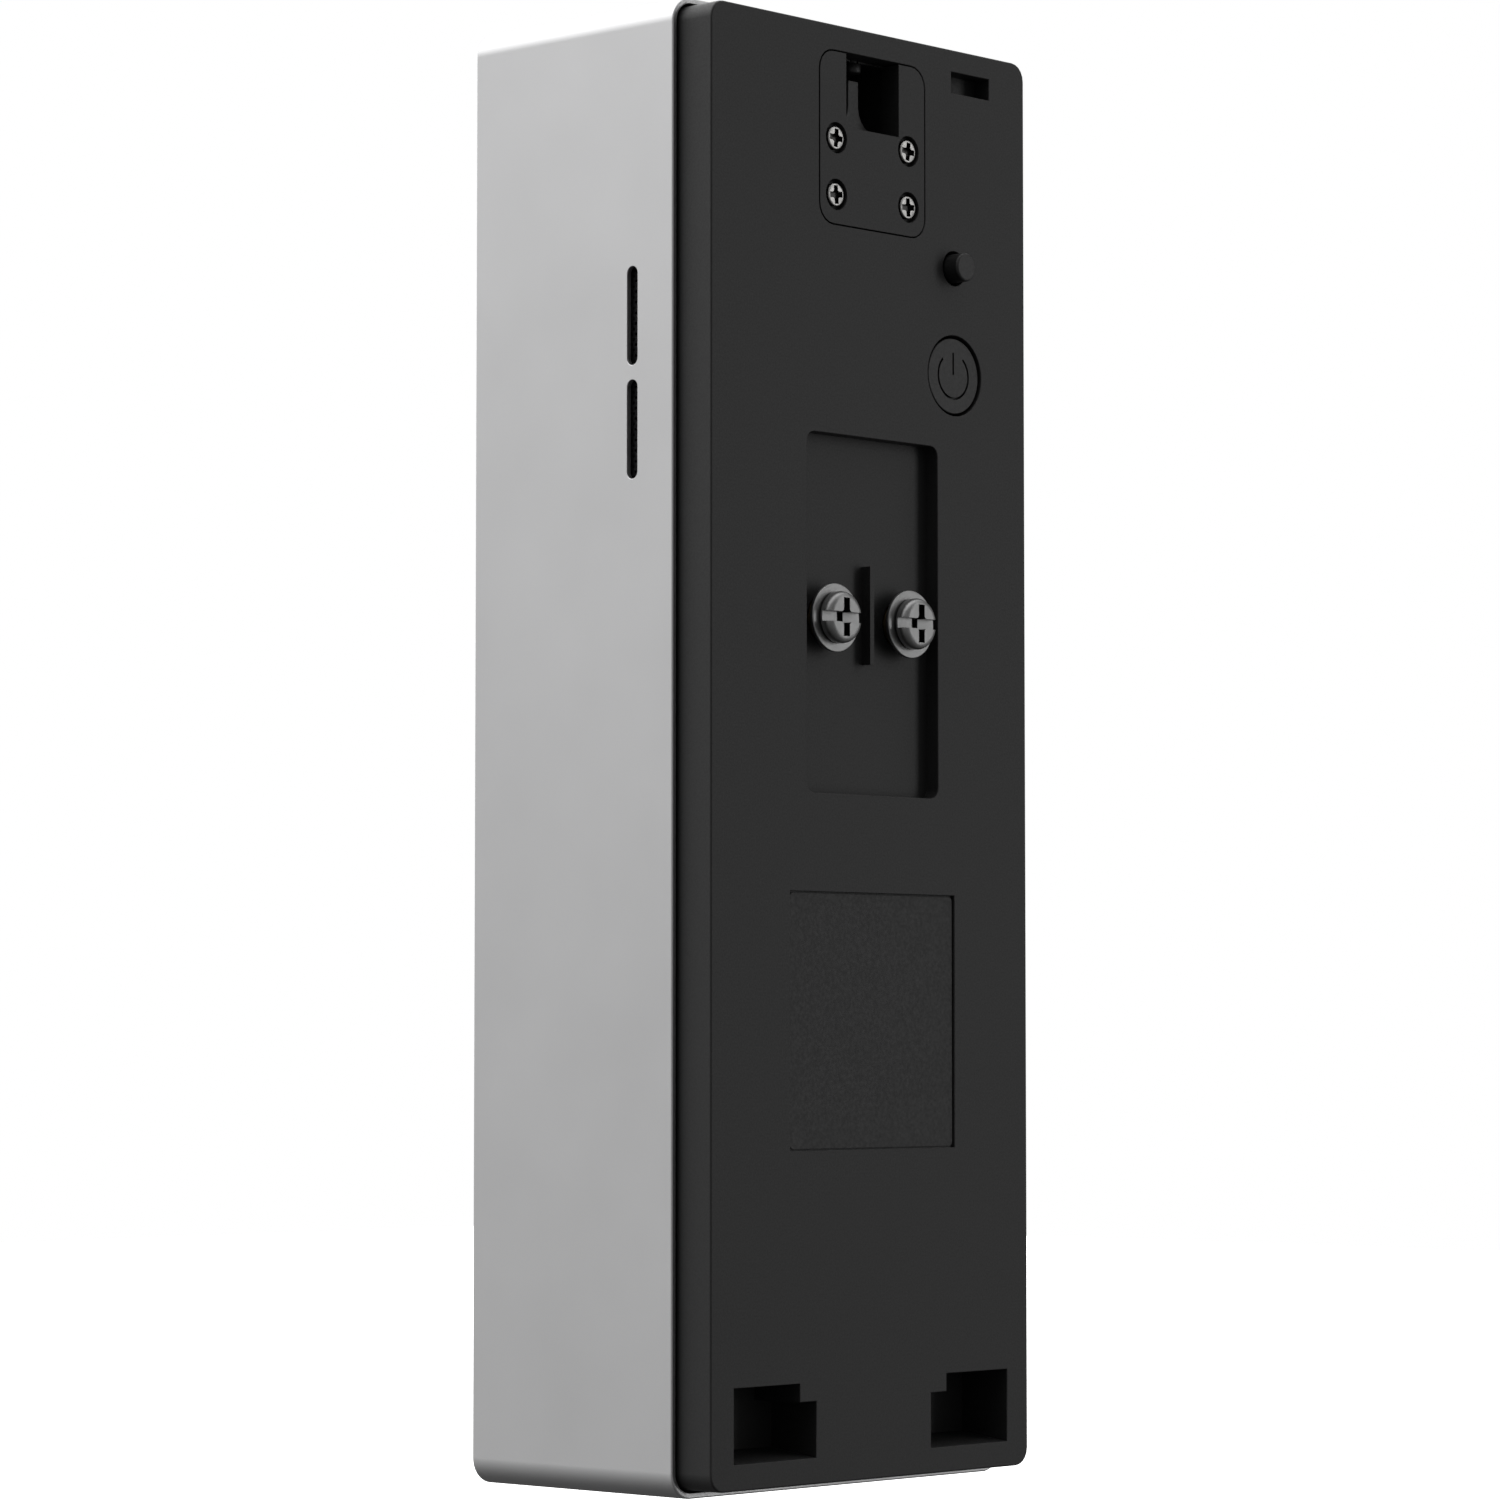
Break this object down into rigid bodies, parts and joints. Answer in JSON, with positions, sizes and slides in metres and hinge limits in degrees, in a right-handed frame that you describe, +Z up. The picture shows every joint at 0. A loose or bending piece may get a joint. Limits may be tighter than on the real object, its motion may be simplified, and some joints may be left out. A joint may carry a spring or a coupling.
{
  "type": "video doorbell",
  "caption": "Battery video doorbell: aluminium sleeve round a black housing with wire terminals, latch, hook sockets, tamper plunger and power button on its back.",
  "frame": {"origin": "on the flat back face, on the centre line, midway between the terminal pocket and the label recess, 65.3 mm above the bottom edge", "axes": "+X across, towards the side with the sound slots; +Y out of the back, towards the wall; +Z up, along the length"},
  "size_m": [0.05, 0.0346, 0.15],
  "materials": {
    "aluminium": "bead-blasted, clear anodised, fine grain",
    "housing_black": "fine spark-eroded texture",
    "control_black": "smooth satin",
    "inner_plastic": "plain moulded",
    "panel_gloss": "polished, black behind",
    "screw_black": "blackened zinc",
    "screw_bright": "nickel plated",
    "brass": "turned",
    "steel": "pressed, tinned",
    "board": "solder resist",
    "rubber": "matt",
    "glass": "coated",
    "light_guide": "frosted",
    "infrared_lens": "dark tinted",
    "cell_wrap": "shrink wrap over the can",
    "label": "blank film"
  },
  "bodies": {
    "housing": {"aluminium_sleeve": "aluminium", "battery_cell_left": "cell_wrap", "battery_cell_right": "cell_wrap", "battery_holder": "inner_plastic", "button_board": "board", "button_light_ring": "light_guide", "button_seal": "rubber", "button_switch": "steel", "camera_board": "board", "camera_window": "glass", "carrier_screw_lower_left": "screw_bright", "carrier_screw_lower_right": "screw_bright", "carrier_screw_upper_left": "screw_bright", "carrier_screw_upper_right": "screw_bright", "front_carrier": "inner_plastic", "front_lens": "glass", "front_panel": "panel_gloss", "housing_gasket": "rubber", "image_sensor": "control_black", "infrared_led_left": "infrared_lens", "infrared_led_right": "infrared_lens", "latch_cover_plate": "housing_black", "latch_screw_lower_left": "screw_bright", "latch_screw_lower_right": "screw_bright", "latch_screw_upper_left": "screw_bright", "latch_screw_upper_right": "screw_bright", "latch_spring": "steel", "lens_barrel": "control_black", "light_sensor": "infrared_lens", "main_board": "board", "microphone": "steel", "motion_lens": "infrared_lens", "motion_sensor": "steel", "power_switch": "control_black", "rating_label": "label", "rear_housing": "housing_black", "rf_shield": "steel", "sensor_board": "board", "speaker_box": "inner_plastic", "speaker_driver": "control_black", "speaker_mesh": "control_black", "tamper_switch": "control_black", "terminal_contact_left": "brass", "terminal_contact_right": "brass", "terminal_insert_left": "brass", "terminal_insert_right": "brass", "wifi_antenna": "brass"},
    "doorbell_button": {"doorbell_button": "panel_gloss"},
    "tamper_plunger": {"tamper_plunger": "control_black"},
    "power_button": {"power_button": "control_black"},
    "latch_slider": {"latch_slider": "control_black"},
    "release_pin": {"release_pin": "control_black"},
    "terminal_washer_left": {"terminal_washer_left": "screw_black"},
    "terminal_screw_left": {"terminal_screw_left": "screw_black"},
    "terminal_washer_right": {"terminal_washer_right": "screw_black"},
    "terminal_screw_right": {"terminal_screw_right": "screw_black"}
  },
  "joints": [
    {"name": "bell_press", "type": "slide", "parent": "housing", "child": "doorbell_button", "axis": [0, 1, 0], "range_m": [0, 0.0008], "stiffness_N_per_m": 1200, "springref_m": -0.0006},
    {"name": "tamper_press", "type": "slide", "parent": "housing", "child": "tamper_plunger", "axis": [0, -1, 0], "range_m": [0, 0.0015], "stiffness_N_per_m": 300, "springref_m": -0.001},
    {"name": "power_press", "type": "slide", "parent": "housing", "child": "power_button", "axis": [0, -1, 0], "range_m": [0, 0.0005], "stiffness_N_per_m": 1500, "springref_m": -0.0005},
    {"name": "latch_slide", "type": "slide", "parent": "housing", "child": "latch_slider", "axis": [0, 0, -1], "range_m": [0, 0.0015], "stiffness_N_per_m": 500, "springref_m": -0.001, "deforming": ["latch_spring"]},
    {"name": "release_push", "type": "slide", "parent": "housing", "child": "release_pin", "axis": [0, 0, -1], "range_m": [0, 0.0015]},
    {"name": "washer_lift_left", "type": "slide", "parent": "housing", "child": "terminal_washer_left", "axis": [0, 1, 0], "range_m": [0, 0.001]},
    {"name": "screw_turn_left", "type": "hinge", "parent": "terminal_washer_left", "child": "terminal_screw_left", "pos_m": [0.00575, 0, 0.0229], "axis": [0, 1, 0], "range_deg": [0, 720]},
    {"name": "washer_lift_right", "type": "slide", "parent": "housing", "child": "terminal_washer_right", "axis": [0, 1, 0], "range_m": [0, 0.001]},
    {"name": "screw_turn_right", "type": "hinge", "parent": "terminal_washer_right", "child": "terminal_screw_right", "pos_m": [-0.00575, 0, 0.0229], "axis": [0, 1, 0], "range_deg": [0, 720]}
  ],
  "couplings": [
    {"joint": "release_push", "follows": "latch_slide", "ratio": 1}
  ]
}
